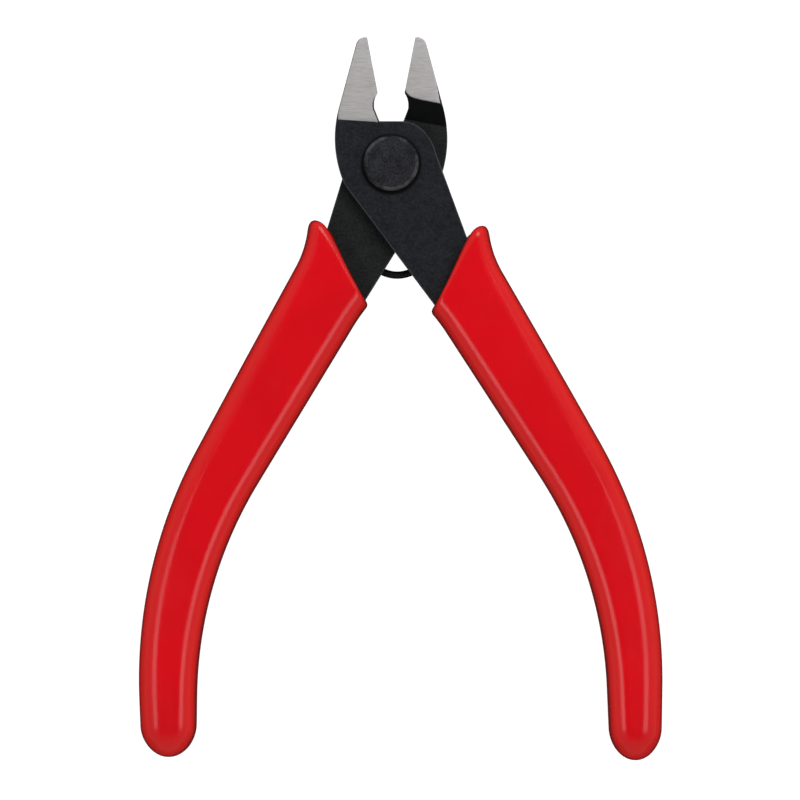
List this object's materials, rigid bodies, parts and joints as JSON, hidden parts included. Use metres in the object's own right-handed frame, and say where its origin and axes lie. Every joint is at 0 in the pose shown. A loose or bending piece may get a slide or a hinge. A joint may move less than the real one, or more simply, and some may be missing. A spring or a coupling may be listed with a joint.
{
  "type": "flush cutter",
  "caption": "Small spring-opened flush cutter with lapped black steel halves on a rivet, bright ground blades and curved red moulded handle sleeves.",
  "frame": {"origin": "on the rivet's axis, at the height of the bench that the tool lies on", "axes": "+Y from the rivet to the blade tips, +X to the right seen from the front, +Z out of the bench towards the front"},
  "size_m": [0.0915, 0.1264, 0.0092],
  "materials": {
    "black_steel": "black oxide, satin, with the blades' ground faces bright",
    "rivet_steel": "black oxide, matt, fine grain",
    "spring_wire": "black spring wire, satin",
    "red_sleeve": "moulded soft plastic, semi-gloss"
  },
  "bodies": {
    "front_half": {"front_blade": "black_steel", "right_grip": "red_sleeve", "pivot_rivet": "rivet_steel", "return_spring": "spring_wire"},
    "rear_half": {"rear_blade": "black_steel", "left_grip": "red_sleeve"}
  },
  "joints": [
    {"name": "handle_pivot", "type": "hinge", "parent": "front_half", "child": "rear_half", "pos_m": [0, 0, 0], "axis": [0, 0, 1], "range_deg": [0, 21.6], "stiffness_Nm_per_rad": 0.6, "deforming": ["return_spring"]}
  ]
}
